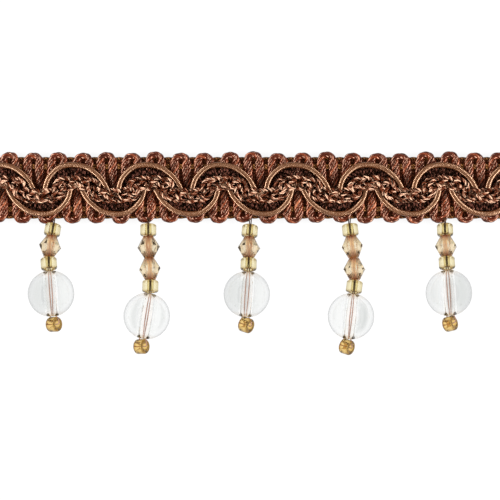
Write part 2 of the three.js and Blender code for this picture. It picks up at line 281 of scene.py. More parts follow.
@dataclass(frozen=True)
class WrappedCord(Finish):
    """Gimp: a soft core wrapped side by side with fine lustrous viscose.

    The eye sees a smooth tan cord with fine ribs across it and a bright satin line on each flank.

    Attributes:
        wrap: Spacing of the wraps in millimetres, drawn about three times coarser than real ones to show.
        crest: Colour on top of a wrap.
        furrow_shade: Colour between two wraps, as painted shade in the grooves.
        shine: Colour of the shine, warmed by light that went through the filaments.
        roughness: Roughness of the filaments.
        ior: Index of refraction, set high for the lustre of the viscose.
        gloss: Strength of the shine.
        stretch: How far the filaments draw the shine out.
        relief: Half of the ribs' height in millimetres.
        bump: Strength of that height.
        ribbing: How far the ribs' painted shade between wraps and their lighter tops lie from the middle of
            the colours, to each side.
        patches: Uneven stretches to a millimetre.
        wander: How far the wraps wander along the cord from stretch to stretch, in millimetres.
        mottle: Span of the colours between the palest and the darkest stretch.
    """

    wrap: float = 0.26
    crest: str = "#4c260f"
    furrow_shade: str = "#2c1406"
    shine: str = "#ffd2ac"
    roughness: float = 0.26
    ior: float = 1.75
    gloss: float = 1.0
    stretch: float = 0.2
    relief: float = 0.03
    bump: float = 0.45
    ribbing: float = 0.28
    patches: float = 0.7
    wander: float = 0.2
    mottle: float = 0.9

    def surface(self, tree: bpy.types.NodeTree) -> dict[str, Any]:
        """Lays the ribs round the cord by its map.

        Args:
            tree: The material's node tree.

        Returns:
            The shader's sockets with their values or links.
        """
        split = add_node(tree, "SeparateXYZ", {"Vector": add_node(tree, "UVMap", uv_map=STRAND_MAP)})
        run, turn = split.outputs["X"], split.outputs["Y"]
        place = add_node(tree, "TexCoord").outputs["Object"]
        drift = add_node(tree, "TexNoise", {"Vector": place, "Scale": self.patches / MM, "Detail": 2.0})
        leaning = add_node(tree, "Math", {0: turn, 1: self.wrap, 2: run}, operation="MULTIPLY_ADD")
        shifted = add_node(tree, "Math", {0: drift, 1: self.wander, 2: leaning}, operation="MULTIPLY_ADD")
        phase = add_node(tree, "Math", {0: shifted, 1: FULL_TURN / self.wrap}, operation="MULTIPLY")
        rib = add_node(tree, "Math", {0: phase}, operation="SINE")
        # The ribs paint shade between the wraps; the drift's term is uneven colour.
        base = (1 - self.mottle) / 2
        ribbed = add_node(tree, "Math", {0: rib, 1: self.ribbing, 2: base}, operation="MULTIPLY_ADD")
        tone = add_node(
            tree, "Math", {0: drift, 1: self.mottle, 2: ribbed}, operation="MULTIPLY_ADD", use_clamp=True
        )
        relief = {"Height": rib, "Distance": self.relief * MM, "Strength": self.bump}
        return {
            "Base Color": colour_ramp(tree, tone, {0.0: self.furrow_shade, 1.0: self.crest}),
            "Roughness": self.roughness,
            "IOR": self.ior,
            "Specular IOR Level": self.gloss,
            "Specular Tint": linear(self.shine),
            "Anisotropic": self.stretch,
            "Tangent": add_node(tree, "Tangent", direction_type="UV_MAP", uv_map=STRAND_MAP),
            "Normal": add_node(tree, "Bump", relief),
        }


@dataclass(frozen=True)
class WovenTape(Finish):
    """Plain-woven viscose and cotton tape, dark brown.

    The eye sees a tight grid of threads over and under each other, matt and nearly black in the gaps.

    Attributes:
        warp: Spacing of the threads along the tape in millimetres.
        weft: Spacing of the threads across it in millimetres.
        stops: Colours from the gaps to the tops of the threads.
        rise: Share of those colours from a gap to the top of a thread, the dark of the gaps being painted
            shade.
        patches: Uneven stretches to a millimetre.
        mottle: Span of the colours between the palest and the darkest stretch.
        sink: How far the darkest stretch lies below the colours' start.
        relief: Height of the threads in millimetres.
        bump: Strength of that height.
        roughness: Roughness of the threads.
        gloss: Strength of their shine.
    """

    warp: float = 0.62
    weft: float = 0.5
    # These colours are painted light: lighter than the tape's own colour, since its top lies in the shade of
    # the yarn and the cords.
    stops: dict[float, str] = field(
        default_factory=lambda: {0.0: "#30150c", 0.45: "#84462c", 1.0: "#c48862"}
    )
    rise: float = 0.6
    patches: float = 0.35
    mottle: float = 0.5
    sink: float = 0.2
    relief: float = 0.12
    bump: float = 0.6
    roughness: float = 0.7
    gloss: float = 0.05

    def surface(self, tree: bpy.types.NodeTree) -> dict[str, Any]:
        """Lays a plain weave on Object coordinates.

        Args:
            tree: The material's node tree.

        Returns:
            The shader's sockets with their values or links.
        """
        place = add_node(tree, "TexCoord").outputs["Object"]
        split = add_node(tree, "SeparateXYZ", {"Vector": place})
        waves = []
        for axis, pitch in (("X", self.weft), ("Y", self.warp)):
            half_turn = math.pi / (pitch * MM)
            turn = add_node(tree, "Math", {0: split.outputs[axis], 1: half_turn}, operation="MULTIPLY")
            waves.append(add_node(tree, "Math", {0: turn}, operation="SINE"))
        weave = add_node(tree, "Math", {0: waves[0], 1: waves[1]}, operation="MULTIPLY")
        crown = add_node(tree, "Math", {0: weave}, operation="ABSOLUTE")
        cloud = add_node(tree, "TexNoise", {"Vector": place, "Scale": self.patches / MM, "Detail": 3.0})
        tint = add_node(tree, "Math", {0: cloud, 1: self.mottle, 2: -self.sink}, operation="MULTIPLY_ADD")
        # The weave's crown paints shade in the gaps between the threads; the cloud's term is uneven colour.
        tone = add_node(
            tree, "Math", {0: crown, 1: self.rise, 2: tint}, operation="MULTIPLY_ADD", use_clamp=True
        )
        relief = {"Height": crown, "Distance": self.relief * MM, "Strength": self.bump}
        return {
            "Base Color": colour_ramp(tree, tone, self.stops),
            "Roughness": self.roughness,
            "Specular IOR Level": self.gloss,
            "Normal": add_node(tree, "Bump", relief),
        }


@dataclass(frozen=True)
class ClearBead(Finish):
    """Glass or acrylic, moulded or cut and polished, tinted in the mass.

    The eye sees the ground bent through it, a grey rim, small bright windows, and faint scuffs from handling.
    The grey rim and grey zones are painted shade by how the bead faces.

    Attributes:
        tints_and_painted_shade: Colours of the glass from straight on (0) to the rim (1): its own colour,
            with painted shade where it darkens towards the rim and painted light where it brightens.
        ends: Colour painted at the two ends of the hole, a painted image of the thread and the next bead as
            they show through the glass.
        ior: Index of refraction.
        roughness: Roughness of the polish.
        reach: Share of the way from the bead's middle to an end at which that end's painted colour sets in.
        scuff: Size of the scuffed patches in millimetres.
        scuffing: Where in the noise of the patches scuffs set in, where they are full, and how many times
            rougher they are.
        lustre: Colour of the reflections, warm where the glass has a lustre coat.
        streaks: Strength of faint grey streaks painted from one end of the hole to the other, as painted
            shade.
        streak_shade: Colour of that painted shade.
        flow: How close the streaks lie, and where in their noise they set in and are full.
        painted_fade: How the painted streaks die away from straight on (0) to the rim (1), from white for
            full strength to black.
    """

    tints_and_painted_shade: dict[float, str]
    ends: str
    ior: float
    roughness: float = 0.02
    reach: float = 0.55
    scuff: float = 1.5
    scuffing: tuple[float, float, float] = (0.35, 0.8, 2.5)
    lustre: str = "#ffffff"
    streaks: float = 0.0
    streak_shade: str = "#9aa09e"
    flow: tuple[float, float, float] = (1.7, 0.46, 0.66)
    painted_fade: dict[float, str] = field(default_factory=lambda: {0.2: "#ffffff", 0.5: "#000000"})

    def surface(self, tree: bpy.types.NodeTree) -> dict[str, Any]:
        """Colours the bead by its own coordinates and by how it faces, with painted shade and painted light,
        and scuffs its polish.

        Args:
            tree: The material's node tree.

        Returns:
            The shader's sockets with their values or links.
        """
        place = add_node(tree, "TexCoord").outputs["Object"]
        patches = add_node(tree, "TexNoise", {"Vector": place, "Scale": 1 / (self.scuff * MM), "Detail": 4.0})
        least, most, rougher = self.scuffing
        polish = {
            "Value": patches,
            "From Min": least,
            "From Max": most,
            "To Min": self.roughness,
            "To Max": self.roughness * rougher,
        }
        in_bead = add_node(tree, "Attribute", attribute_name="in_bead").outputs["Vector"]
        along = add_node(tree, "SeparateXYZ", {"Vector": in_bead}).outputs["Z"]
        # The ends' colour is painted: it stands for the thread and the next bead seen through the glass.
        far = add_node(tree, "Math", {0: along}, operation="ABSOLUTE")
        toward_painted_end = add_node(tree, "MapRange", {"Value": far, "From Min": self.reach})
        level = add_node(tree, "VectorMath", {0: in_bead, 1: (1, 1, 0)}, operation="MULTIPLY")
        around = add_node(tree, "VectorMath", {0: level}, operation="NORMALIZE")
        # Painted shade: grey streaks round the hole, dying away towards the rim.
        closeness, least, most = self.flow
        noise = add_node(tree, "TexNoise", {"Vector": around, "Scale": closeness, "Detail": 1.0})
        streak = {"Value": noise, "From Min": least, "From Max": most, "To Max": self.streaks}
        facing = add_node(tree, "LayerWeight", {"Blend": 0.5}).outputs["Facing"]
        faded = {0: add_node(tree, "MapRange", streak), 1: colour_ramp(tree, facing, self.painted_fade)}
        painted_streak_share = add_node(tree, "Math", faded, operation="MULTIPLY")
        # Painted shade and painted light by how the surface faces: grey zones, a grey rim and, on the
        # acrylic, a brighter ring.
        colour = colour_ramp(tree, facing, self.tints_and_painted_shade)
        for share, tint in ((painted_streak_share, self.streak_shade), (toward_painted_end, self.ends)):
            mix = add_node(tree, "Mix", {"Factor": share, 6: colour, 7: linear(tint)}, data_type="RGBA")
            colour = mix.outputs[2]
        return {
            "Base Color": colour,
            "Roughness": add_node(tree, "MapRange", polish),
            "IOR": self.ior,
            "Specular Tint": linear(self.lustre),
            "Transmission Weight": 1.0,
        }


@dataclass(frozen=True)
class LitPanel(Finish):
    """Opal acrylic over a light box: an even pale floor that glows and so takes hardly any shadow.

    Attributes:
        colour: Colour of the opal acrylic.
        light: Colour of the light that comes through it.
        glow: Strength of that light.
        roughness: Roughness of the acrylic.
    """

    name: str = "opal acrylic light panel"
    colour: str = "#454545"
    light: str = "#ffffff"
    glow: float = 0.88
    roughness: float = 0.9

    def surface(self, tree: bpy.types.NodeTree) -> dict[str, Any]:
        """Sets the even glow, which has no pattern.

        Args:
            tree: The material's node tree, which gets no more nodes.

        Returns:
            The shader's sockets with their values.
        """
        return {
            "Base Color": linear(self.colour),
            "Roughness": self.roughness,
            "Specular IOR Level": 0.0,
            "Emission Color": linear(self.light),
            "Emission Strength": self.glow,
        }


PICOT_FINISH = SpunYarn(
    "twisted viscose yarn russet brown",
    {0.0: "#0a0100", 0.45: "#3c140a", 0.75: "#5e2916", 1.0: "#94583c"},
    roughness=0.27,
    gloss=0.85,
    shine="#ffc6a6",
    lay=2.4,
    relief=0.02,
    furrow_shade=0.06,
    patch=1.6,
)
PLAIT_FINISH = SpunYarn(
    "plaited marl thread brown and cream",
    {0.0: "#060100", 0.4: "#280c04", 0.7: "#602a14", 1.0: "#c09a80"},
    roughness=0.3,
    gloss=0.3,
    shine="#ffc6a0",
    plies=2,
    relief=0.06,
    marl=0.32,
)
WEB_FINISH = SpunYarn(
    "dark cotton filling thread",
    {0.0: "#020000", 0.5: "#150603", 1.0: "#5c362c"},
    gloss=0.08,
    plies=2,
    lay=0.8,
)
BINDING_FINISH = SpunYarn(
    "olive brown cotton binding thread",
    {0.0: "#0e0603", 0.5: "#42260f", 1.0: "#8a5c36"},
    gloss=0.15,
    plies=2,
    lay=0.9,
    furrow_shade=0.25,
)
SEWING_FINISH = SpunYarn(
    "brown polyester sewing thread",
    {0.0: "#140a05", 0.3: "#2a180d", 0.6: "#4c3226", 1.0: "#86695c"},
    roughness=0.45,
    gloss=0.2,
    lay=0.7,
    relief=0.03,
)
GIMP_FINISH = WrappedCord("wrapped viscose gimp tan")
# The tape's top is painted lighter, as painted light for the shade it lies in; its cut edges take a darker
# copy.
TAPE_TOP_PAINTED_LIGHT_FINISH = WovenTape("plain woven cotton tape dark brown")
TAPE_EDGE_FINISH = WovenTape(
    "cut edge of cotton tape dark brown", stops={0.0: "#120602", 0.45: "#331509", 1.0: "#5e3420"}
)
# The beads' colours by facing are painted shade and painted light; their ends' colours are painted images of
# the thread and the next bead; the acrylic's streaks are painted shade.
ACRYLIC_FINISH = ClearBead(
    "moulded clear acrylic",
    {
        0.0: "#fefefd",
        0.03: "#fafaf9",
        0.1: "#f0f2f1",
        0.22: "#f7f8f7",
        0.42: "#ffffff",
        0.6: "#f0f1f2",
        0.75: "#bcbec0",
        0.88: "#8e9092",
    },
    "#ecdccb",
    1.49,
    roughness=0.03,
    reach=0.75,
    streaks=0.62,
)
BORE_FINISH = ClearBead("drilled clear acrylic", {0.0: "#fffcfa"}, "#f0e2c0", 1.49, roughness=0.05)
CRYSTAL_FINISH = ClearBead(
    "cut champagne glass",
    {0.0: "#f2e3c8", 0.45: "#e4cfa2", 0.8: "#a0824e"},
    "#8c4404",
    1.6,
    reach=0.3,
    lustre="#ffcf88",
)
CRYSTAL_BORE_FINISH = ClearBead("drilled champagne glass", {0.0: "#f8d4ac"}, "#b85a14", 1.6, roughness=0.3)
STRAW_FINISH = ClearBead(
    "pressed straw yellow glass",
    {0.2: "#efe5be", 0.8: "#a88c42"},
    "#a88440",
    1.52,
    roughness=0.03,
    lustre="#fff0c8",
)
AMBER_FINISH = ClearBead(
    "pressed amber glass", {0.2: "#ecc87c", 0.8: "#54340c"}, "#906828", 1.52, roughness=0.03, lustre="#fff0c8"
)


# Strands and pieces


@dataclass
class Strand:
    """One run of yarn, cord or thread.

    Attributes:
        line: Points of its middle line, in millimetres.
        section: Pairs of side and lift round the line, anticlockwise against the travel, in millimetres.
        shade: Its place in its finish's range of colours, 0 to 1, all over or for each point.
    """

    line: np.ndarray
    section: np.ndarray
    shade: float | np.ndarray = 0.5


def round_section(diameter: float, sides: int) -> np.ndarray:
    """Makes a round section.

    Args:
        diameter: Its width in millimetres.
        sides: Its number of sides.

    Returns:
        Its pairs of side and lift.
    """
    angles = FULL_TURN * np.arange(sides) / sides
    return np.column_stack([np.cos(angles), np.sin(angles)]) * diameter / 2


def run_along(line: np.ndarray) -> np.ndarray:
    """Measures how far along a line each of its points lies.

    Args:
        line: Its points.

    Returns:
        Each point's distance from the start.
    """
    return np.concatenate([[0], np.cumsum(np.linalg.norm(np.diff(line, axis=0), axis=1))])


def resampled(line: np.ndarray, spacing: float) -> np.ndarray:
    """Spaces the points of a line evenly.

    Args:
        line: Its points.
        spacing: The wanted distance between points.

    Returns:
        The new points.
    """
    run = run_along(line)
    marks = np.linspace(0, run[-1], max(2, round(run[-1] / spacing) + 1))
    return np.column_stack([np.interp(marks, run, line[:, axis]) for axis in range(3)])


def curve_through(handles: np.ndarray, spacing: float, share: int = 12) -> np.ndarray:
    """Lays a smooth curve through points, which takes each stretch by the root of its length.

    Args:
        handles: The points.
        spacing: The distance between points of the curve.
        share: Points worked out between two handles before they are spaced.

    Returns:
        The curve's points.
    """
    ends = np.vstack([2 * handles[0] - handles[1], handles, 2 * handles[-1] - handles[-2]])
    knots = np.concatenate([[0], np.cumsum(np.sqrt(np.linalg.norm(np.diff(ends, axis=0), axis=1)))])
    points = []
    for i in range(1, len(ends) - 2):
        mark = np.linspace(knots[i], knots[i + 1], share, endpoint=False)[:, None]

        def between(low: int, high: int, first: np.ndarray, second: np.ndarray) -> np.ndarray:
            """Blends two points or lines over the knots low to high."""
            part = (mark - knots[low]) / (knots[high] - knots[low])
            return first + (second - first) * part

        one, two, three = (between(k, k + 1, ends[k], ends[k + 1]) for k in (i - 1, i, i + 1))
        points.append(between(i, i + 1, between(i - 1, i + 1, one, two), between(i, i + 2, two, three)))
    return resampled(np.vstack([*points, handles[-1:]]), spacing)


def travel_frames(line: np.ndarray) -> tuple[np.ndarray, np.ndarray]:
    """Works out the side and lift directions along a line that never runs straight up.

    Args:
        line: Its points.

    Returns:
        The side directions and the lift directions, one for each point.
    """
    travel = np.gradient(line, axis=0)
    travel /= np.linalg.norm(travel, axis=1, keepdims=True)
    side = np.cross(UP, travel)
    side /= np.linalg.norm(side, axis=1, keepdims=True)
    return side, np.cross(travel, side)


def twisted(
    line: np.ndarray,
    plies: int,
    radius: float,
    lay: float,
    start: float = 0.0,
    flat: np.ndarray | float = 1.0,
) -> list[np.ndarray]:
    """Twists plies round a line.

    Args:
        line: The line that they share.
        plies: How many there are.
        radius: Distance of a ply's middle from the line.
        lay: Length along the line of one full turn.
        start: Angle of the first ply where the line starts.
        flat: How many times wider than round the twist is pressed, along the line or all over.

    Returns:
        Each ply's middle line.
    """
    side, lift = travel_frames(line)
    run = run_along(line)
    across = radius * np.reshape(flat, (-1, 1)) * side
    above = radius / np.reshape(flat, (-1, 1)) * lift
    lines = []
    for ply in range(plies):
        turn = (start + FULL_TURN * (ply / plies + run / lay))[:, None]
        lines.append(line + np.cos(turn) * across + np.sin(turn) * above)
    return lines


def cut_to_length(strand: Strand, margin: float = 0.05) -> list[Strand]:
    """Cuts a strand off at the heading's two ends.

    Args:
        strand: The strand, which may run past the ends and back.
        margin: How far inside the ends it stops, in millimetres.

    Returns:
        Its runs between the ends.
    """
    inside = np.abs(strand.line[:, 0]) <= HEADING.length / 2 - margin
    shade = np.broadcast_to(strand.shade, len(inside))
    breaks = np.flatnonzero(inside[1:] != inside[:-1]) + 1
    runs = zip(*(np.split(values, breaks) for values in (inside, strand.line, shade)))
    return [Strand(line, strand.section, tint) for kept, line, tint in runs if kept[0] and len(line) > 2]


def placed(name: str, data: bpy.types.ID) -> bpy.types.Object:
    """Adds an object to the scene.

    Args:
        name: Its name.
        data: Its mesh, light or camera.

    Returns:
        The new object.
    """
    thing = bpy.data.objects.new(name, data)
    bpy.context.scene.collection.objects.link(thing)
    return thing


def strand_piece(name: str, strands: list[Strand], material: bpy.types.Material) -> bpy.types.Object:
    """Joins strands into one smooth mesh with each strand's shade and the map of its run and turn.

    Args:
        name: The piece's name.
        strands: Its strands.
        material: Its finish.

    Returns:
        The new object.
    """
    points: list[np.ndarray] = []
    faces: list[list[int]] = []
    maps: list[np.ndarray] = []
    shades: list[np.ndarray] = []
    first = 0
    for strand in strands:
        side, lift = travel_frames(strand.line)
        count, sides = len(strand.line), len(strand.section)
        across = side[:, None, :] * strand.section[None, :, :1]
        above = lift[:, None, :] * strand.section[None, :, 1:]
        points.append((strand.line[:, None, :] + across + above).reshape(-1, 3))
        ring = first + np.arange(count - 1)[:, None] * sides
        here = np.arange(sides)
        there = (here + 1) % sides
        quads = np.stack([ring + here, ring + there, ring + there + sides, ring + here + sides], axis=-1)
        faces.extend(quads.reshape(-1, 4).tolist())
        faces.append((first + here[::-1]).tolist())
        faces.append((first + (count - 1) * sides + here).tolist())
        run = run_along(strand.line)
        girth = np.linspace(0, 1, sides + 1)
        corner = np.zeros((count - 1, sides, 4, 2))
        corner[..., 0] = np.stack([run[:-1], run[:-1], run[1:], run[1:]], axis=-1)[:, None, :]
        corner[..., 1] = np.stack([girth[:-1], girth[1:], girth[1:], girth[:-1]], axis=-1)[None, :, :]
        cap = np.column_stack([np.zeros(sides), girth[:-1]])
        maps += [corner.reshape(-1, 2), cap[::-1], cap + [run[-1], 0]]
        shades.append(np.repeat(np.broadcast_to(strand.shade, count), sides))
        first += count * sides
    mesh = bpy.data.meshes.new(name)
    mesh.from_pydata((np.vstack(points) * MM).tolist(), [], faces)
    layer = mesh.uv_layers.new(name=STRAND_MAP)
    layer.data.foreach_set("uv", np.vstack(maps).astype(np.float32).ravel())
    shade = mesh.attributes.new("shade", "FLOAT", "POINT")
    shade.data.foreach_set("value", np.concatenate(shades).astype(np.float32))
    mesh.shade_smooth()
    mesh.materials.append(material)
    return placed(name, mesh)


def mounted(piece: bpy.types.Object, slot: Slot, *nodes: str) -> bpy.types.Object:
    """Sets a piece on the part's body and hides the solids that it stands for.

    Args:
        piece: The finished piece.
        slot: Its material slot in the record, not used.
        nodes: The solids that it replaces.

    Returns:
        The piece.
    """
    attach(piece, BODY)
    if nodes:
        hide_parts(*nodes)
    LOG.info("%s: %d faces", piece.name, len(piece.data.polygons))
    return piece


def fresh_selection() -> None:
    """Deselects everything in object mode, so that the next primitive is alone."""
    if bpy.context.mode != "OBJECT":
        bpy.ops.object.mode_set(mode="OBJECT")
    bpy.ops.object.select_all(action="DESELECT")


# Heading pieces


@dataclass
class WovenGround:
    """The tape that the heading is woven on, and the three threads that bind the yarn along each edge.

    Attributes:
        thickness: Thickness of the tape in millimetres.
        cells: Faces along the tape and across it.
        side_tilt: Upward share of a face's normal below which the face is a cut edge.
        rows: Each binding thread's distance from the edge, diameter and level.
        wave: How far a binding thread rises between two yarn legs, and dips under them.
        margin: How far inside the cut ends the binding threads stop.
        spacing: Distance between points along a binding thread.
        sides: Sides of a binding thread's section.
        shade: Place of the binding threads in their range of colours.
    """

    thickness: float = 0.45
    cells: tuple[int, int] = (60, 8)
    side_tilt: float = 0.5
    rows: tuple[tuple[float, float, float], ...] = ((0.1, 0.5, 0.5), (1.3, 0.5, 0.7), (1.75, 0.5, 0.7))
    wave: float = 0.12
    margin: float = 0.1
    spacing: float = 0.2
    sides: int = 8
    shade: float = 0.55

    def build_tape(self) -> bpy.types.Object:
        """Returns:
            The tape.
        """
        fresh_selection()
        bpy.ops.mesh.primitive_grid_add(x_subdivisions=self.cells[0], y_subdivisions=self.cells[1], size=1.0)
        tape = bpy.context.object
        tape.name = tape.data.name = "woven_tape"
        tape.data.transform(Matrix.Diagonal((HEADING.length * MM, HEADING.ground_width * MM, 1.0, 1.0)))
        tape.data.transform(Matrix.Translation((0, 0, self.thickness * MM)))
        solid = tape.modifiers.new("thickness", "SOLIDIFY")
        solid.thickness = self.thickness * MM
        solid.offset = -1.0
        bpy.ops.object.modifier_apply(modifier=solid.name)
        # The top takes the finish painted lighter and the cut edges the darker one.
        for finish in (TAPE_TOP_PAINTED_LIGHT_FINISH, TAPE_EDGE_FINISH):
            tape.data.materials.append(finish.material())
        for face in tape.data.polygons:
            face.material_index = int(abs(face.normal.z) < self.side_tilt)
        mounted(tape, Slot.PICOT_YARN)
        return tape

    def build_binding(self) -> bpy.types.Object:
        """Weaves the binding threads over and under the yarn's legs.

        Returns:
            The threads as one piece.
        """
        strands = []
        reach = HEADING.length / 2 - self.margin
        along = np.linspace(-reach, reach, round(2 * reach / self.spacing))
        wave = self.wave * np.cos(2 * FULL_TURN * (along - HEADING.loop_phase) / HEADING.loop_pitch)
        for edge in Edge:
            for inset, diameter, level in self.rows:
                across = edge.value * (HEADING.ground_width / 2 - inset + wave / 2)
                line = np.column_stack([along, across, level + wave])
                strands.append(Strand(line, round_section(diameter, self.sides), self.shade))
        return mounted(strand_piece("binding_threads", strands, BINDING_FINISH.material()), Slot.PICOT_YARN)


@dataclass
class PicotYarn:
    """The thick twisted yarn that runs to and fro across the tape and turns in a picot loop past each edge.

    Attributes:
        diameter: Diameter of the yarn in millimetres.
        level: Height of its middle.
        tilt: How far the left leg of an upper loop lies above that, and its right leg below.
        plies: Strands twisted together.
        lay: Length of one turn of the twist.
        ply: Diameter of a strand.
        core: Diameter of the plain core that the strands go round.
        sides: Sides of the sections of strands and core.
        spacing: Distance between points along the yarn.
        flat: How many times wider than round the yarn is pressed where it crosses the tape.
        shoulder: Distance from the tape's middle past which a loop is round.
        press: Distance over which it is pressed flat from there.
        sway: Most that a loop leans along the edge.
        reach: Most that a loop stands past the even edge, or short of it.
        core_painted_shade: Place of the core in the range of colours, near black, as painted shade in the
            gaps between the strands.
        shades: Places of the strands in that range, by turns.
        scatter: Most that a strand lies from its place there.
        painted_fade: Where across the tape the yarn is painted lightest, as painted light in the lower
            hollows that the cords shade, how far that spreads and how much lighter it gets.
        loop: Half of a loop from its leg to its top, as distances from its middle and from the tape's.
        seed: Start of the random numbers.
    """

    diameter: float = 1.2
    level: float = 0.95
    tilt: float = 0.08
    plies: int = 5
    lay: float = 4.6
    ply: float = 0.46
    core: float = 0.7
    sides: int = 6
    spacing: float = 0.2
    flat: float = 1.6
    shoulder: float = 5.05
    press: float = 0.8
    sway: float = 0.2
    reach: float = 0.16
    core_painted_shade: float = 0.1
    shades: tuple[float, float] = (0.4, 0.6)
    scatter: float = 0.1
    painted_fade: tuple[float, float, float] = (-2.6, 1.3, 0.25)
    loop: tuple[tuple[float, float], ...] = (
        (1.03, 2.6), (1.04, 3.9), (1.04, 4.65), (0.97, 5.05), (0.75, 5.4),
        (0.38, 5.56), (0.0, 5.6),
    )
    seed: int = 11

    def line(self) -> np.ndarray:
        """Lays out the yarn's middle line from the left end to the right.

        Returns:
            Its points.
        """
        rng = np.random.default_rng(self.seed)
        widest = max(along for along, _ in self.loop)
        tallest = self.loop[-1][1]
        base = self.loop[0][1]
        reach = HEADING.length / 2 + HEADING.loop_pitch
        first = math.floor((-reach - HEADING.loop_phase) / HEADING.loop_pitch)
        last = math.ceil((reach - HEADING.loop_phase) / HEADING.loop_pitch)
        rising = [(-along, rise) for along, rise in self.loop]
        falling = [(along, rise) for along, rise in reversed(self.loop[:-1])]
        points = []
        for loop in range(first, last + 1):
            for edge in Edge:
                lag = 0.0 if edge is Edge.UPPER else HEADING.lower_loop_lag
                middle = HEADING.loop_phase + loop * HEADING.loop_pitch + lag
                lean = rng.uniform(-self.sway, self.sway)
                stretch = rng.uniform(-self.reach, self.reach)
                for along, rise in rising + falling:
                    share = (rise - base) / (tallest - base)
                    height = self.level - self.tilt * edge.value * along / widest
                    across = edge.value * (rise + stretch * share)
                    points.append((middle + along + lean * share, across, height))
        return curve_through(np.array(points), self.spacing)

    def build(self) -> bpy.types.Object:
        """Twists the strands along the line.

        Returns:
            The yarn.
        """
        rng = np.random.default_rng(self.seed + 1)
        section = round_section(self.ply, self.sides)
        radius = (self.diameter - self.ply) / 2
        middle = self.line()
        flat = 1 + (self.flat - 1) * np.clip((self.shoulder - np.abs(middle[:, 1])) / self.press, 0, 1)
        painted_light_middle, spread, amount = self.painted_fade
        # The core's near-black is painted shade that shows in the gaps between the strands.
        strands = cut_to_length(Strand(middle, round_section(self.core, self.sides), self.core_painted_shade))
        for ply, line in enumerate(twisted(middle, self.plies, radius, self.lay, flat=flat)):
            shade = self.shades[ply % len(self.shades)] + rng.uniform(-self.scatter, self.scatter)
            # Painted light: the strands are painted lighter across the lower hollows, where the cords shade
            # them.
            painted_light = amount * np.exp(-(((line[:, 1] - painted_light_middle) / spread) ** 2))
            strands += cut_to_length(Strand(line, section, shade + painted_light))
        piece = strand_piece("picot_yarn", strands, PICOT_FINISH.material())
        return mounted(piece, Slot.PICOT_YARN, "picot_ground")


@dataclass
class GimpCord:
    """One of the two wrapped cords that scallop along the face and turn back under the plait.

    Attributes:
        edge: The edge that its scallops face.
        node: The solid that it stands for.
        width: Width of the cord in millimetres.
        thickness: Thickness of the cord.
        square: How square its section is, 2 for an ellipse and more for a flatter top.
        sides: Sides of its section.
        rise: Height of a scallop from its turn to its top.
        turn: How far its turns lie past the middle of the scrolls.
        scallop: One scallop from turn to turn, as shares of the pitch and of the rise.
    """

    edge: Edge
    node: str
    width: float = 0.92
    thickness: float = 0.75
    square: float = 2.8
    sides: int = 24
    rise: float = 5.12
    turn: float = 0.9
    scallop: tuple[tuple[float, float], ...] = (
        (0.0, 0.0), (0.05, 0.06), (0.073, 0.16), (0.083, 0.26), (0.1, 0.416),
        (0.128, 0.566), (0.18, 0.729), (0.243, 0.867), (0.313, 0.957), (0.4, 1.0),
        (0.49, 1.0), (0.585, 0.961), (0.668, 0.885), (0.743, 0.762), (0.813, 0.605),
        (0.865, 0.441), (0.905, 0.264), (0.932, 0.13), (0.962, 0.04),
    )

    def line(self, level: float, spacing: float = 0.15) -> np.ndarray:
        """Lays out the cord's middle line.

        Args:
            level: Its height over the back.
            spacing: Distance between its points.

        Returns:
            Its points, in the direction of the scallops.
        """
        facing = self.edge.value
        phase = HEADING.scroll_phase + (0 if self.edge is Edge.UPPER else HEADING.scroll_pitch / 2)
        handles = []
        for scroll in range(-HEADING.scroll_count, HEADING.scroll_count + 1):
            for along, rise in self.scallop:
                x = (scroll + along) * HEADING.scroll_pitch * facing + phase
                y = HEADING.scroll_middle + facing * (rise * self.rise - self.turn)
                if abs(x) < HEADING.length / 2 + self.rise:
                    handles.append((x, y, level))
        return curve_through(np.array(handles), spacing)

    def section(self) -> np.ndarray:
        """Makes the cord's section, a round pressed flat on top and below.

        Returns:
            Its pairs of side and lift.
        """
        ring = round_section(1.0, self.sides)
        bulge = np.sum(np.abs(ring * 2) ** self.square, axis=1) ** (-1 / self.square)
        return ring * bulge[:, None] * [self.width, self.thickness]

    def build(self) -> bpy.types.Object:
        """Sweeps the cord along its line.

        Returns:
            The cord.
        """
        strand = Strand(self.line(HEADING.face + self.thickness / 2), self.section())
        piece = strand_piece(f"{self.node}_wrapped", cut_to_length(strand, 0.0), GIMP_FINISH.material())
        return mounted(piece, Slot.GIMP_CORD, self.node)


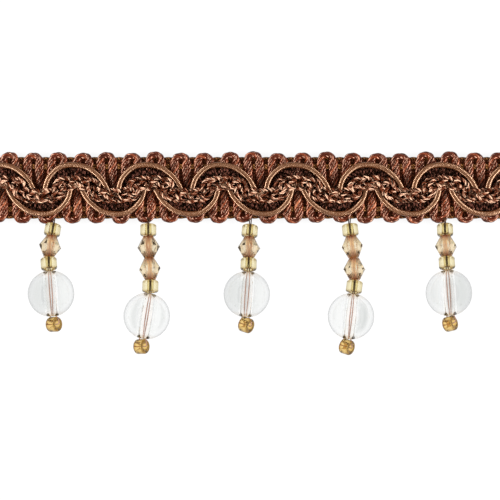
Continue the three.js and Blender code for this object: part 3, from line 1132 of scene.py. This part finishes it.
@dataclass
class CrescentWeb:
    """The dark filling threads that line the inside of a gimp cord's scallops, rib beside rib.

    Attributes:
        cord: The cord that it lines.
        thread: Diameter of a thread in millimetres.
        sides: Sides of its section.
        pitch: Spacing of the ribs along the cord.
        reach: Length of the longest ribs.
        lowest: Height over the scrolls' middle at which the ribs start.
        level: Height of its middle.
        stitch: Length of one rise and dip of a rib.
        wave: How far it rises and dips.
        steps: Points along a rib.
        skew: Least and most that a rib leans along the heading.
        shades: Least and most of a rib's place in the range of colours.
        painted_glint: How much lighter a rib is painted where it rises, as a painted highlight, and darker
            where it dips, as painted shade.
        seed: Start of the random numbers, one more or less by the edge.
    """

    cord: GimpCord
    thread: float = 0.26
    sides: int = 6
    pitch: float = 0.3
    reach: float = 2.0
    lowest: float = 0.9
    level: float = 1.42
    stitch: float = 1.1
    wave: float = 0.13
    steps: int = 13
    skew: tuple[float, float] = (-0.3, 0.6)
    shades: tuple[float, float] = (0.1, 0.6)
    painted_glint: float = 0.35
    seed: int = 5

    def build(self) -> bpy.types.Object:
        """Sets the ribs along the inside of each scallop.

        Returns:
            The web.
        """
        facing = self.cord.edge.value
        rng = np.random.default_rng(self.seed + facing)
        section = round_section(self.thread, self.sides)
        line = self.cord.line(self.level, self.pitch)
        side, _ = travel_frames(line)
        steps = np.linspace(0, 1, self.steps)
        strands = []
        for point, outward in zip(line, side):
            height = facing * (point[1] - HEADING.scroll_middle)
            if height < self.lowest:
                continue
            length = min(self.reach, height)
            stitch = np.sin(FULL_TURN * (steps * length / self.stitch + rng.uniform()))
            skew = np.array([rng.uniform(*self.skew) * facing, 0, 0])
            rib = point + steps[:, None] * (skew - outward * length) + self.wave * stitch[:, None] * UP
            # Each rib is painted lighter where it rises and darker where it dips: painted highlight and
            # painted shade.
            strands += cut_to_length(Strand(rib, section, rng.uniform(*self.shades) + self.painted_glint * stitch))
        name = f"{self.cord.node}_web"
        return mounted(strand_piece(name, strands, WEB_FINISH.material()), Slot.PICOT_YARN)


@dataclass
class ScrollPlait:
    """The plait of fine threads that winds in an S between the two gimp cords.

    Attributes:
        width: Width of the plait in millimetres.
        thickness: Thickness of the plait.
        swing: How far its middle swings to each side.
        steepness: Share of the pitch by which it runs ahead and back.
        lead: How far the legs of an upper bend lie in from even, and those of a lower bend out.
        shift: How far the whole plait lies along the heading from the scrolls.
        overrun: Share of a scroll that is laid out past each end of the heading.
        marks: Points worked out in a scroll before they are spaced.
        spacing: Distance between points along the plait.
        strands: Strands plaited together.
        crossings: Full swings of a strand in one scroll.
        threads: Threads twisted in a strand.
        thread: Diameter of a thread.
        sides: Sides of its section.
        bundle: Width of a strand in diameters of its threads.
        lay: Length of one turn of a strand's twist.
        shades: Places of the threads in their range of colours.
        seed: Start of the random numbers.
    """

    width: float = 2.75
    thickness: float = 1.35
    swing: float = 1.1
    steepness: float = 0.09
    lead: float = 0.27
    shift: float = 0.135
    overrun: float = 0.6
    marks: int = 200
    spacing: float = 0.14
    strands: int = 5
    crossings: float = 1.5
    threads: int = 4
    thread: float = 0.26
    sides: int = 5
    bundle: float = 2.41
    lay: float = 2.3
    shades: tuple[float, ...] = (0.2, 0.4, 0.55, 0.8, 1.0)
    seed: int = 23

    def build(self) -> bpy.types.Object:
        """Plaits the strands and twists each one's threads.

        Returns:
            The plait.
        """
        rng = np.random.default_rng(self.seed)
        scrolls = HEADING.scroll_count / 2 + self.overrun
        turns = np.linspace(-scrolls, scrolls, round(scrolls * 2 * self.marks))
        x = HEADING.scroll_phase + turns * HEADING.scroll_pitch
        x = x + self.steepness * HEADING.scroll_pitch * np.sin(2 * FULL_TURN * turns)
        x = x + self.lead * np.sin(FULL_TURN * turns) + self.shift
        y = HEADING.scroll_middle - self.swing * np.cos(FULL_TURN * turns)
        level = HEADING.face + self.thickness / 2
        middle = resampled(np.column_stack([x, y, np.full_like(x, level)]), self.spacing)
        side, lift = travel_frames(middle)
        run = np.linspace(-scrolls, scrolls, len(middle))
        bundle = self.bundle * self.thread
        radius = (bundle - self.thread) / 2
        section = round_section(self.thread, self.sides)
        pieces = []
        for strand in range(self.strands):
            phase = FULL_TURN * (run * self.crossings + strand / self.strands)
            across = (self.width - bundle) / 2 * np.sin(phase)
            above = (self.thickness - bundle) / 2 * np.sin((self.strands - 1) * phase)
            line = middle + across[:, None] * side + above[:, None] * lift
            for thread in twisted(line, self.threads, radius, self.lay, rng.uniform(0, FULL_TURN)):
                pieces += cut_to_length(Strand(thread, section, rng.choice(self.shades)))
        piece = strand_piece("plaited_braid", pieces, PLAIT_FINISH.material())
        return mounted(piece, Slot.PLAIT, "scroll_plait")


# Beads


MERGE = 1e-4  # Points of a bead's model that are nearer than this are one, in millimetres.
TOUCH = 1e-3  # Points this near to a plane lie on it, in millimetres.
CREASE = math.radians(40)  # A smooth bead's edge that bends more than this stays sharp.
DECIMALS = 8  # Corners of a solid that agree to so many decimals of a metre are one.


def select_points(chosen: Callable[[Vector], bool]) -> None:
    """Selects vertices of the mesh in edit mode by their place, and nothing else.

    Args:
        chosen: Says of a vertex's place whether it is selected.
    """
    bpy.ops.mesh.select_all(action="DESELECT")
    bpy.ops.object.mode_set(mode="OBJECT")
    for vertex in bpy.context.object.data.vertices:
        vertex.select = chosen(vertex.co)
    bpy.ops.object.mode_set(mode="EDIT")


def edit_wall(bore: float, outside: float, length: float) -> None:
    """Models the section of a bead's wall from a plane and goes into edit mode with all of it selected.

    Args:
        bore: Diameter of the hole in millimetres.
        outside: Diameter over the wall.
        length: Length along the hole.
    """
    fresh_selection()
    middle = ((outside + bore) / 4, 0, 0)
    bpy.ops.mesh.primitive_plane_add(size=1.0, location=middle, rotation=(math.pi / 2, 0, 0))
    bpy.context.object.scale = ((outside - bore) / 2, length, 1)
    bpy.ops.object.transform_apply()
    bpy.ops.object.mode_set(mode="EDIT")
    bpy.ops.mesh.select_all(action="SELECT")


def spun(name: str, steps: int, smooth: bool) -> bpy.types.Mesh:
    """Spins the outline that is being edited round the upright axis and marks the bead's own coordinates.

    Args:
        name: The mesh's name.
        steps: Steps of the spin.
        smooth: Whether the bead is shaded smooth but for its sharp edges, or cut into flat triangles.

    Returns:
        The bead's mesh, in millimetres.
    """
    bpy.ops.mesh.select_all(action="SELECT")
    bpy.ops.mesh.delete(type="ONLY_FACE")
    bpy.ops.mesh.select_all(action="SELECT")
    bpy.ops.mesh.spin(steps=steps, angle=FULL_TURN, center=(0, 0, 0), axis=(0, 0, 1), use_auto_merge=True)
    bpy.ops.mesh.select_all(action="SELECT")
    bpy.ops.mesh.remove_doubles(threshold=MERGE)
    if not smooth:
        bpy.ops.mesh.quads_convert_to_tris(quad_method="SHORTEST_DIAGONAL")
    bpy.ops.mesh.normals_make_consistent(inside=False)
    bpy.ops.object.mode_set(mode="OBJECT")
    if smooth:
        bpy.ops.object.shade_smooth_by_angle(angle=CREASE)
    model = bpy.context.object
    mesh = model.data
    mesh.name = name
    places = np.array([vertex.co for vertex in mesh.vertices])
    in_bead = mesh.attributes.new("in_bead", "FLOAT_VECTOR", "POINT")
    in_bead.data.foreach_set("vector", (places / places.max(axis=0)).ravel())
    bpy.context.scene.collection.objects.unlink(model)
    bpy.data.objects.remove(model)
    return mesh


def bored(mesh: bpy.types.Mesh, reach: float) -> bpy.types.Mesh:
    """Gives the wall of a bead's hole the bead's second finish.

    Args:
        mesh: The bead's mesh.
        reach: Distance from the hole's middle within which a face belongs to it.

    Returns:
        The mesh.
    """
    for face in mesh.polygons:
        if face.center.to_2d().length < reach:
            face.material_index = 1
    return mesh


@dataclass
class SeedBead:
    """A pressed rocaille: a short tube with rounded rims.

    Attributes:
        diameter: Its diameter in millimetres.
        length: Its length along the hole.
        bore: Diameter of the hole.
        rounding: Radius of its rims.
        segments: Faces across a rim.
        steps: Steps round the bead.
    """

    diameter: float = 2.8
    length: float = 2.04
    bore: float = 1.1
    rounding: float = 0.34
    segments: int = 5
    steps: int = 32

    def model(self) -> bpy.types.Mesh:
        """Models the wall's section from a plane, rounds its corners and spins it.

        Returns:
            The bead's mesh.
        """
        edit_wall(self.bore, self.diameter, self.length)
        bpy.ops.mesh.bevel(offset=self.rounding, segments=self.segments, affect="VERTICES")
        return spun("seed_bead", self.steps, True)


@dataclass
class BiconeBead:
    """A cut bicone: flat facets that point up and down by turns, in two cones that meet in a sharp girdle.

    Attributes:
        diameter: Its diameter over the girdle in millimetres.
        length: Its length along the hole.
        tip: Diameter of its flat ends.
        bore: Diameter of the hole.
        facets: Facets round each cone that point the same way.
    """

    diameter: float = 3.9
    length: float = 3.85
    tip: float = 1.75
    bore: float = 1.0
    facets: int = 8

    def model(self) -> bpy.types.Mesh:
        """Models the section from a plane, draws its outer side out and aside to the girdle and spins it.

        Returns:
            The bead's mesh.
        """
        edit_wall(self.bore, self.tip, self.length)
        select_points(lambda point: point.x > (self.tip + self.bore) / 4)
        bpy.ops.mesh.subdivide(number_cuts=1)
        select_points(lambda point: abs(point.z) < self.length / 4)
        turn = math.pi / self.facets
        girdle = self.diameter / 2 * Vector((math.cos(turn), math.sin(turn), 0))
        bpy.ops.transform.translate(value=girdle - Vector((self.tip / 2, 0, 0)))
        return bored(spun("bicone_bead", self.facets, False), self.bore / 2)


@dataclass
class BallBead:
    """A clear moulded ball with a drilled hole.

    Attributes:
        diameter: Its diameter in millimetres.
        bore: Diameter of the hole.
        mouth: Bevel of the hole's rims.
        segments: Faces across that bevel.
        sides: Sides of the circle that the ball starts from.
        steps: Steps round the ball.
    """

    diameter: float = 8.0
    bore: float = 1.7
    mouth: float = 0.05
    segments: int = 3
    sides: int = 96
    steps: int = 72

    def model(self) -> bpy.types.Mesh:
        """Models half of a disc from a circle cut at the hole's wall, rounds its corners and spins it.

        Returns:
            The ball's mesh.
        """
        fresh_selection()
        bpy.ops.mesh.primitive_circle_add(
            vertices=self.sides, radius=self.diameter / 2, fill_type="NGON", rotation=(math.pi / 2, 0, 0)
        )
        bpy.ops.object.transform_apply()
        bpy.ops.object.mode_set(mode="EDIT")
        bpy.ops.mesh.select_all(action="SELECT")
        wall = self.bore / 2
        bpy.ops.mesh.bisect(plane_co=(wall, 0, 0), plane_no=(1, 0, 0), clear_inner=True, use_fill=False)
        select_points(lambda point: point.x < wall + TOUCH)
        bpy.ops.mesh.bevel(offset=self.mouth, segments=self.segments, affect="VERTICES")
        return bored(spun("ball_bead", self.steps, True), wall + self.mouth)


@dataclass(frozen=True)
class BeadForm:
    """One kind of bead.

    Attributes:
        model: Its mesh, modelled once and copied.
        finishes: Its material, and that of its hole where the hole has its own.
        slot: Its material slot in the record.
    """

    model: bpy.types.Mesh
    finishes: list[bpy.types.Material]
    slot: Slot


@dataclass(frozen=True)
class BeadPlace:
    """Where a bead sits and which way its hole runs, in metres.

    Attributes:
        centre: The bead's middle.
        axis: The direction of its hole.
    """

    centre: Vector
    axis: Vector

    @classmethod
    def of_node(cls, node: str, along: Vector) -> "BeadPlace":
        """Reads the place from a bead's solid, whose hole is the odd one out of its three spreads.

        Args:
            node: The solid's name.
            along: The axis points this way, or as near as it can.

        Returns:
            The bead's place.
        """
        points = np.array([vertex.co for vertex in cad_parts[node].data.vertices], float)
        points = np.unique(np.round(points, DECIMALS), axis=0)
        centre = points.mean(axis=0)
        spreads, axes = np.linalg.eigh(np.cov((points - centre).T))
        odd = 0 if spreads[1] - spreads[0] > spreads[2] - spreads[1] else 2
        axis = Vector(axes[:, odd])
        return cls(Vector(centre), axis if axis.dot(along) > 0 else -axis)

    def matrix(self, roll: float) -> Matrix:
        """Gives the transform that takes a bead, modelled upright in millimetres and rolled, to its place."""
        turn = self.axis.to_track_quat("Z", "Y").to_matrix().to_4x4()
        return Matrix.Translation(self.centre) @ turn @ Matrix.Rotation(roll, 4, "Z") @ Matrix.Scale(MM, 4)


@dataclass
class BeadDrop:
    """One drop: beads strung on a doubled thread that goes through a crosswise end bead.

    Attributes:
        number: Its place from left to right, from 1.
        bicones: How many bicones it has.
        slack: Distance of each strand from the middle of the ball's wide hole, in millimetres.
        thread: Diameter of the thread.
        sides: Sides of its section.
        spacing: Distance between points along it.
        spread: Distance of each strand from the middle of the other holes.
        entry: How far before the first bead's middle the thread comes into line with its hole.
        setback: How far behind that point the thread leaves the edge.
        sink: How far below that point it does so.
        straight: How far to each side of the ball's middle the thread runs straight.
        turns: Points of the thread's turn into the end bead, as distances out along its hole and up.
        tuck: How far the end bead's hole turns to face up, in degrees.
        thread_painted_shades: Half the length of each kind of bead, and the shade painted on the thread
            inside it: painted shade in the seeds, painted light in the bicones and the ball.
        seed: Start of the random numbers, to which the drop's number is added.
        pieces: The beads, once they are built.
    """

    number: int
    bicones: int
    slack: float
    thread: float = 0.19
    sides: int = 6
    spacing: float = 0.12
    spread: float = 0.1
    entry: float = 1.1
    setback: float = 1.2
    sink: float = 0.2
    straight: float = 3.2
    turns: tuple[tuple[float, float], ...] = ((1.05, 0.75), (1.05, 0.1), (0.1, 0.0))
    tuck: float = 35.0
    thread_painted_shades: dict[str, tuple[float, float]] = field(
        default_factory=lambda: {"seed": (0.9, 0.05), "bicone": (1.5, 0.9), "ball": (3.7, 0.88)}
    )
    seed: int = 40
    pieces: list[bpy.types.Object] = field(default_factory=list)

    def string(self) -> dict[str, BeadPlace]:
        """Reads the string's beads from the edge down, without the end bead.

        Returns:
            The solids' names with their places.
        """
        middle = [f"bicone_{i + 1}_{self.number}" for i in range(self.bicones)]
        nodes = [f"upper_seed_{self.number}", *middle, f"lower_seed_{self.number}", f"ball_{self.number}"]
        return {node: BeadPlace.of_node(node, Vector((0, -1, 0))) for node in nodes}

    def end_place(self) -> BeadPlace:
        """Turns the end bead's hole a little to face up.

        Returns:
            The end bead's place.
        """
        place = BeadPlace.of_node(f"end_seed_{self.number}", Vector((1, 0, 0)))
        across = place.axis.cross(Vector((0, 0, 1)))
        return BeadPlace(place.centre, Matrix.Rotation(math.radians(self.tuck), 3, across) @ place.axis)

    def build_beads(self, forms: dict[str, BeadForm]) -> None:
        """Copies each bead's model to its place.

        Args:
            forms: Each kind of bead, by the start of its solids' names.
        """
        rng = np.random.default_rng(self.seed + self.number)
        places = {**self.string(), f"end_seed_{self.number}": self.end_place()}
        for node, place in places.items():
            form = next(form for kind, form in forms.items() if node.startswith(kind))
            mesh = form.model.copy()
            mesh.name = f"{node}_bead"
            mesh.transform(place.matrix(float(rng.uniform(0, FULL_TURN))))
            for finish in form.finishes:
                mesh.materials.append(finish)
            bead = placed(f"{node}_bead", mesh)
            bead.visible_shadow = False
            self.pieces.append(mounted(bead, form.slot, node))

    def shades(self, line: np.ndarray) -> np.ndarray:
        """Paints the thread's shade along a strand by the beads that it lies in, as painted shade and painted
        light.

        Args:
            line: The strand's points.

        Returns:
            A shade for each point.
        """
        # Painted shade and painted light: the thread is darker inside the seeds and lighter inside the
        # bicones and the ball.
        drops, tints_and_painted_shade = [], []
        for node, place in self.string().items():
            half, tint = next(painted_pair for kind, painted_pair in self.thread_painted_shades.items() if kind in node)
            drops += [-place.centre.y / MM - half, -place.centre.y / MM + half]
            tints_and_painted_shade += [tint, tint]
        return np.interp(-line[:, 1], drops, tints_and_painted_shade)

    def build_thread(self, material: bpy.types.Material) -> bpy.types.Object:
        """Runs the doubled thread from the edge through the beads and round the end bead.

        Args:
            material: The thread's finish.

        Returns:
            The new piece.
        """
        *upper, ball = self.string().values()
        end = self.end_place()
        start = np.array(upper[0].centre - upper[0].axis * self.entry * MM) / MM
        root = start + [0, self.setback, -self.sink]
        upward = np.array([0.0, 1.0, 0.0])
        section = round_section(self.thread, self.sides)
        strands = []
        for side in (-1, 1):
            across = np.array([side * self.spread, 0, 0])
            points = [root + across * 2, start + across]
            points += [np.array(place.centre) / MM + across for place in upper]
            slack = np.array([side * self.slack, 0, 0])
            for down in (-self.straight, 0.0, self.straight):
                points.append(np.array(ball.centre + ball.axis * down * MM) / MM + slack)
            outward = np.array(end.axis) * side
            points += [np.array(end.centre) / MM + outward * out + upward * up for out, up in self.turns]
            line = curve_through(np.array(points), self.spacing)
            strands.append(Strand(line, section, self.shades(line)))
        piece = strand_piece(f"drop_thread_{self.number}", strands, material)
        return mounted(piece, Slot.THREAD, f"bead_thread_{self.number}")


# Studio


@dataclass
class Studio:
    """Lit pale floor, two soft lights at the sides, four panels for the beads, a sky and the camera.

    Attributes:
        view_width: Width that the picture takes in, in millimetres.
        view_middle: Place along Y of the picture's middle.
        lens: Focal length of the camera in millimetres.
        sensor: Width of the camera's sensor in millimetres.
        near: Least distance that the camera sees, in metres.
        floor_size: Width of the floor in metres.
        floor_cells: Faces along each side of the floor.
        floor_gap: How far under the trim the floor lies, in millimetres.
        side_place: Where the right side light stands, in metres, with the left one across from it.
        side_size: Width and height of a side light in metres.
        side_power: Power of each side light in watts.
        panel_place: Distance and height of each wide panel round the trim, in metres.
        panel_size: Width and height of a panel in metres.
        panel_power: Power of each panel in watts.
        sky: Strength of the soft light from all round.
        sky_colours: Colours of that light from the horizon (0) to straight up (1).
        side_lit: What the side lights shine on, all but the clear beads.
        panel_lit: What the panels shine on, the clear beads alone.
    """

    view_width: float = 86.5
    view_middle: float = -10.78
    lens: float = 150.0
    sensor: float = 36.0
    near: float = 0.01
    floor_size: float = 4.0
    floor_cells: int = 4
    floor_gap: float = 0.02
    side_place: tuple[float, float, float] = (0.45, -0.02, 0.3)
    side_size: tuple[float, float] = (0.5, 0.2)
    side_power: float = 8.0
    panel_place: tuple[float, float] = (0.55, 0.22)
    panel_size: tuple[float, float] = (1.1, 0.45)
    panel_power: float = 1.5
    sky: float = 0.36
    sky_colours: dict[float, str] = field(
        default_factory=lambda: {0.0: "#a08450", 0.25: "#c8bca4", 0.7: "#ffffff"}
    )
    side_lit: bpy.types.Collection = field(default_factory=lambda: bpy.data.collections.new("side_lit"))
    panel_lit: bpy.types.Collection = field(default_factory=lambda: bpy.data.collections.new("panel_lit"))

    def build_floor(self) -> bpy.types.Object:
        """Lays the lit floor just under the trim.

        Returns:
            The floor.
        """
        fresh_selection()
        bpy.ops.mesh.primitive_grid_add(
            x_subdivisions=self.floor_cells,
            y_subdivisions=self.floor_cells,
            size=self.floor_size,
            location=(0, 0, -self.floor_gap * MM),
        )
        bpy.ops.object.transform_apply()
        floor = bpy.context.object
        floor.name = "lit_floor"
        floor.data.materials.append(LitPanel().material())
        return floor

    def add_light(
        self,
        name: str,
        place: tuple[float, float, float],
        size: tuple[float, float],
        power: float,
        lit: bpy.types.Collection,
    ) -> None:
        """Adds a soft light aimed at the middle of the picture.

        Args:
            name: The light's name.
            place: Where it stands, in metres.
            size: Its width and height in metres.
            power: Its power in watts.
            lit: What it shines on.
        """
        data = bpy.data.lights.new(name, "AREA")
        data.shape = "RECTANGLE"
        data.size, data.size_y = size
        data.energy = power
        light = placed(name, data)
        light.light_linking.receiver_collection = lit
        light.location = place
        aim = Vector((0, self.view_middle * MM, 0)) - Vector(place)
        light.rotation_euler = aim.to_track_quat("-Z", "Y").to_euler()
        light.visible_camera = False

    def build_lights(self) -> None:
        """Sets the side lights, the panels for the beads and the sky."""
        out, along, height = self.side_place
        for name, side in (("left_light", -1), ("right_light", 1)):
            self.add_light(name, (side * out, along, height), self.side_size, self.side_power, self.side_lit)
        out, height = self.panel_place
        for name, x, y in (("left", -1, 0), ("right", 1, 0), ("front", 0, -1), ("back", 0, 1)):
            place = (x * out, y * out, height)
            self.add_light(f"{name}_panel", place, self.panel_size, self.panel_power, self.panel_lit)
        world = bpy.data.worlds.new("soft_sky")
        world.use_nodes = True
        tree = world.node_tree
        tree.nodes.clear()
        direction = add_node(tree, "TexCoord").outputs["Generated"]
        upward = add_node(tree, "SeparateXYZ", {"Vector": direction}).outputs["Z"]
        colour = colour_ramp(tree, upward, self.sky_colours)
        shader = add_node(tree, "Background", {"Color": colour, "Strength": self.sky})
        add_node(tree, "OutputWorld", {"Surface": shader})
        bpy.context.scene.world = world
        bpy.context.scene.view_settings.view_transform = "Standard"

    def build_camera(self) -> None:
        """Hangs the camera over the trim, looking straight down with the heading's upper edge at the top."""
        data = bpy.data.cameras.new("camera")
        data.lens = self.lens
        data.sensor_width = self.sensor
        data.clip_start = self.near
        camera = placed("camera", data)
        height = self.view_width * self.lens / self.sensor + HEADING.face
        camera.location = (0, self.view_middle * MM, height * MM)
        bpy.context.scene.camera = camera


# Each drop's bicones, and the slack of its thread in the ball.
DROPS = ((1, 0.22), (2, 0.2), (1, 0.3), (2, 0.18), (1, 0.25))


def main() -> None:
    """Builds the studio, the heading and the drops."""
    logging.basicConfig(level=logging.INFO, format="%(name)s: %(message)s")
    studio = Studio()
    studio.build_camera()
    floor = studio.build_floor()
    studio.build_lights()

    ground = WovenGround()
    textiles = [ground.build_tape(), ground.build_binding(), PicotYarn().build()]
    for edge, node in ((Edge.UPPER, "gimp_cord_upper"), (Edge.LOWER, "gimp_cord_lower")):
        cord = GimpCord(edge, node)
        textiles += [cord.build(), CrescentWeb(cord).build()]
    textiles.append(ScrollPlait().build())

    straw = BeadForm(SeedBead().model(), [STRAW_FINISH.material()], Slot.STRAW_GLASS)
    end_seed = SeedBead(diameter=2.6, length=1.9).model()
    acrylic = [ACRYLIC_FINISH.material(), BORE_FINISH.material()]
    crystal = [CRYSTAL_FINISH.material(), CRYSTAL_BORE_FINISH.material()]
    forms = {
        "upper_seed": straw,
        "lower_seed": straw,
        "end_seed": BeadForm(end_seed, [AMBER_FINISH.material()], Slot.STRAW_GLASS),
        "bicone": BeadForm(BiconeBead().model(), crystal, Slot.CHAMPAGNE_GLASS),
        "ball": BeadForm(BallBead().model(), acrylic, Slot.CLEAR_ACRYLIC),
    }
    sewing = SEWING_FINISH.material()
    for number, (bicones, slack) in enumerate(DROPS, start=1):
        drop = BeadDrop(number, bicones, slack)
        drop.build_beads(forms)
        textiles.append(drop.build_thread(sewing))
        for bead in drop.pieces:
            studio.panel_lit.objects.link(bead)
    for piece in [floor, *textiles]:
        studio.side_lit.objects.link(piece)


if __name__ == "__main__":
    main()
